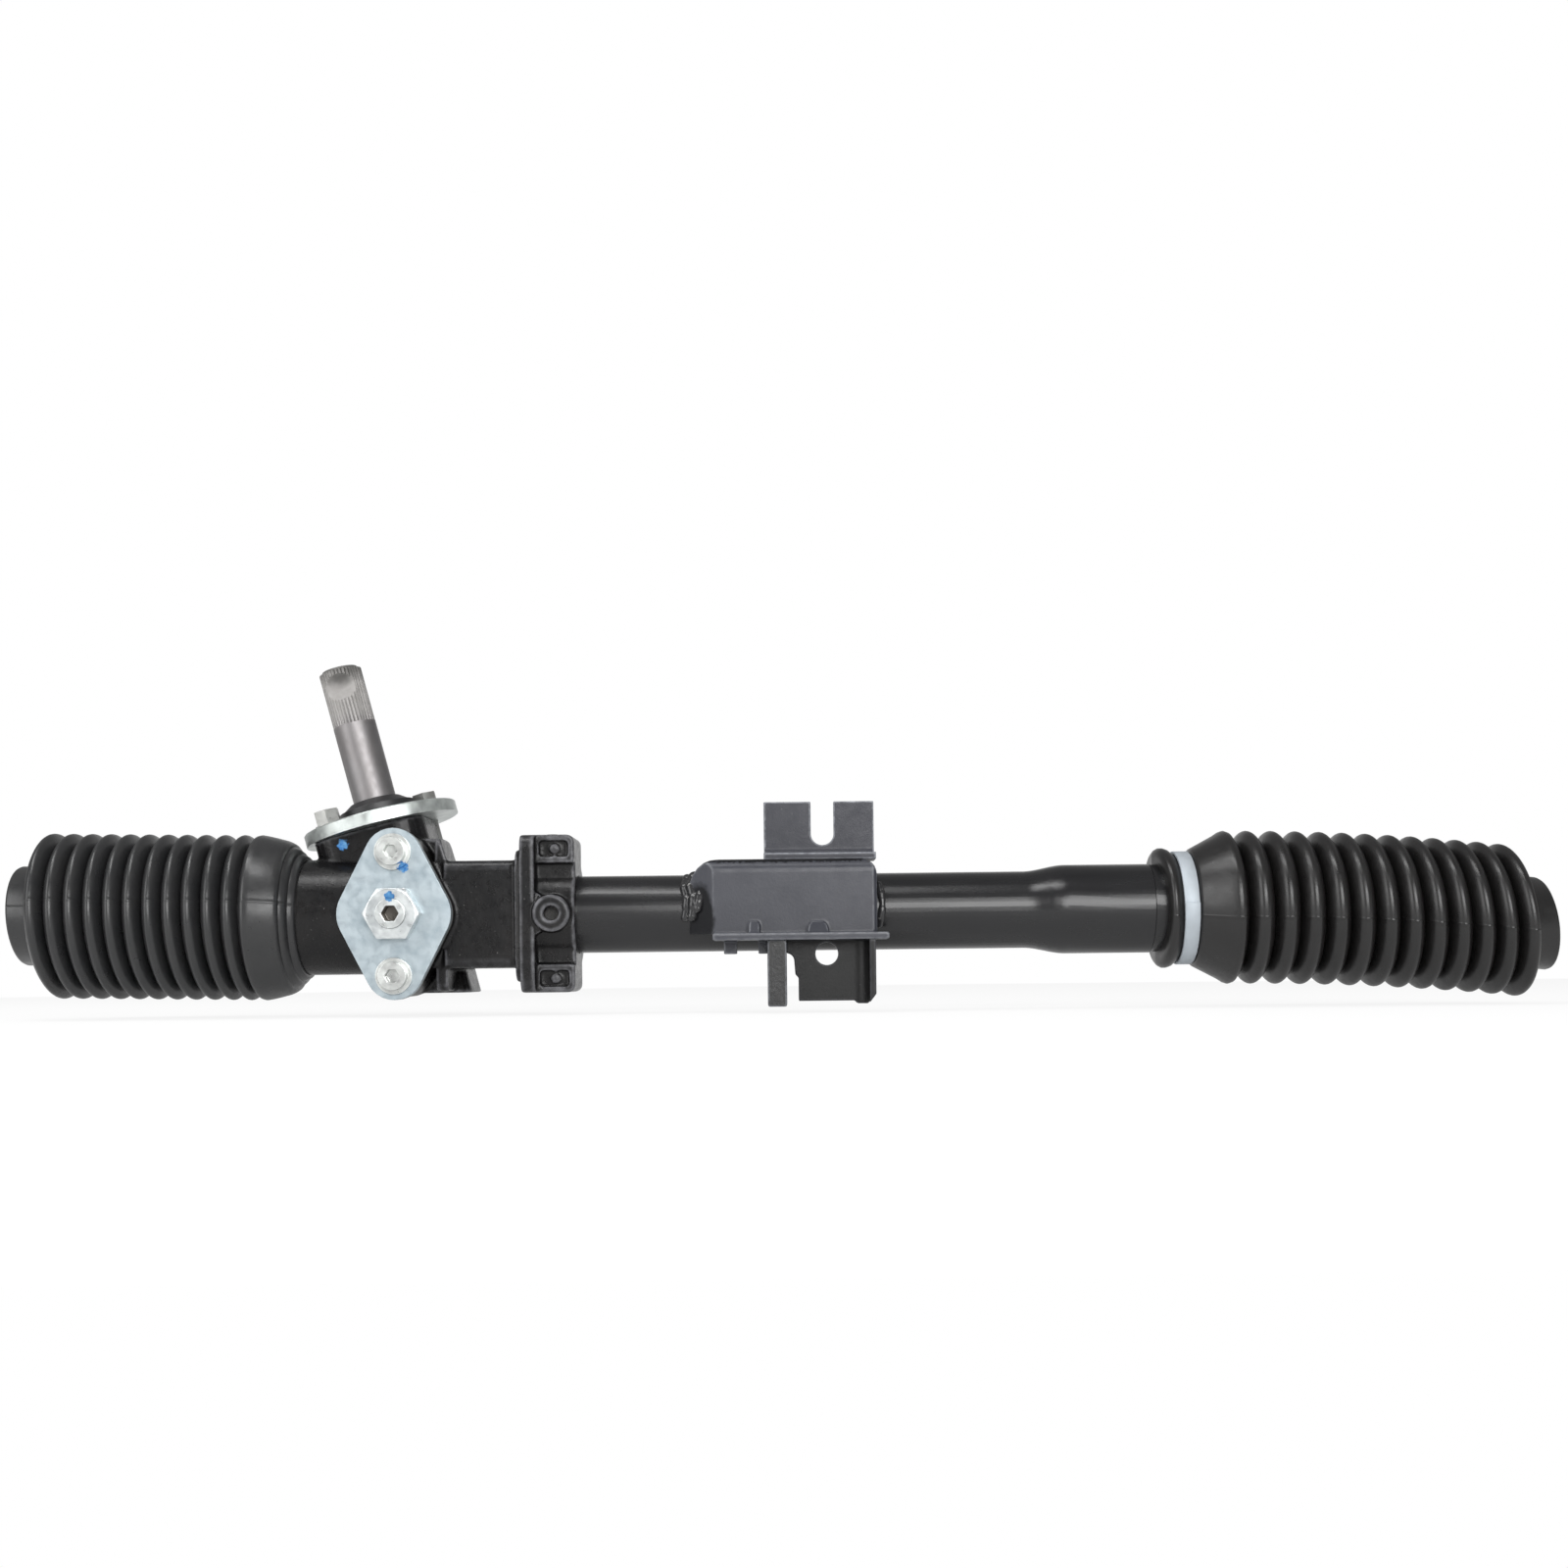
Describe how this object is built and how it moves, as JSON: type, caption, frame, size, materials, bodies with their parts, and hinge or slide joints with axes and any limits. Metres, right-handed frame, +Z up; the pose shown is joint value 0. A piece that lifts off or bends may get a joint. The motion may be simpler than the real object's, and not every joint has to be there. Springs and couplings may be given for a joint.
{
  "type": "rack and pinion steering gear",
  "caption": "Manual rack-and-pinion steering gear with a cast pinion housing, steel tube, welded bracket and rubber bellows; turning the splined shaft slides the rack.",
  "frame": {"origin": "on the rack's axis, in the middle of the clamp seat on the flared end of the tube", "axes": "+X along the rack towards the tube's end, +Y to the back, where the rack's teeth are, +Z up towards the input shaft"},
  "size_m": [0.633, 0.0902, 0.1493],
  "materials": {
    "casting_paint": "black paint on cast iron, satin",
    "tube_paint": "black paint, satin gloss",
    "bracket_paint": "black paint on pressed sheet, semi matt",
    "pin_steel": "plain steel",
    "bush_plastic": "natural nylon",
    "rack_steel": "ground steel",
    "shaft_steel": "turned steel, phosphated",
    "bearing_steel": "polished bearing steel",
    "spring_steel": "blued spring steel",
    "bush_bronze": "sintered bronze",
    "seal_rubber": "nitrile rubber",
    "zinc_plate": "blue passivated zinc",
    "zinc_screws": "bright zinc",
    "zinc_band": "zinc band",
    "yoke_metal": "die cast, as cast",
    "gasket_fibre": "pressed fibre sheet",
    "boot_rubber": "moulded rubber, satin"
  },
  "bodies": {
    "housing": {"gear_housing": "casting_paint", "steel_tube": "tube_paint", "tube_lock_pin": "pin_steel", "rack_bush": "bush_plastic", "bearing_outer_ring": "bearing_steel", "lower_bush": "bush_bronze", "pinion_oil_seal": "seal_rubber", "pinion_cover_plate": "zinc_plate", "pinion_cover_bolts": "zinc_screws", "pinion_dust_cap": "seal_rubber", "support_yoke": "yoke_metal", "yoke_spring": "spring_steel", "yoke_cover_gasket": "gasket_fibre", "yoke_cover": "zinc_plate", "yoke_cover_screws": "zinc_screws", "adjuster_screw": "zinc_screws", "adjuster_lock_nut": "zinc_screws", "bracket_channel": "bracket_paint", "bracket_slot_tab": "bracket_paint", "bracket_post": "bracket_paint", "bracket_hanger": "bracket_paint", "bracket_welds": "bracket_paint", "left_boot": "boot_rubber", "right_boot": "boot_rubber", "right_boot_clamp": "zinc_band"},
    "rack": {"rack_bar": "rack_steel"},
    "pinion": {"pinion_shaft": "shaft_steel", "bearing_inner_ring": "bearing_steel", "bearing_balls": "bearing_steel", "bearing_circlip": "spring_steel"}
  },
  "joints": [
    {"name": "rack_slide", "type": "slide", "parent": "housing", "child": "rack", "axis": [1, 0, 0], "range_m": [-0.06, 0.06]},
    {"name": "pinion_turn", "type": "hinge", "parent": "housing", "child": "pinion", "pos_m": [-0.295, 0.01501, 0], "axis": [-0.2521, 0, 0.9677], "range_deg": [-505, 505]}
  ],
  "couplings": [
    {"joint": "pinion_turn", "follows": "rack_slide", "rad_per_m": 145.52}
  ]
}
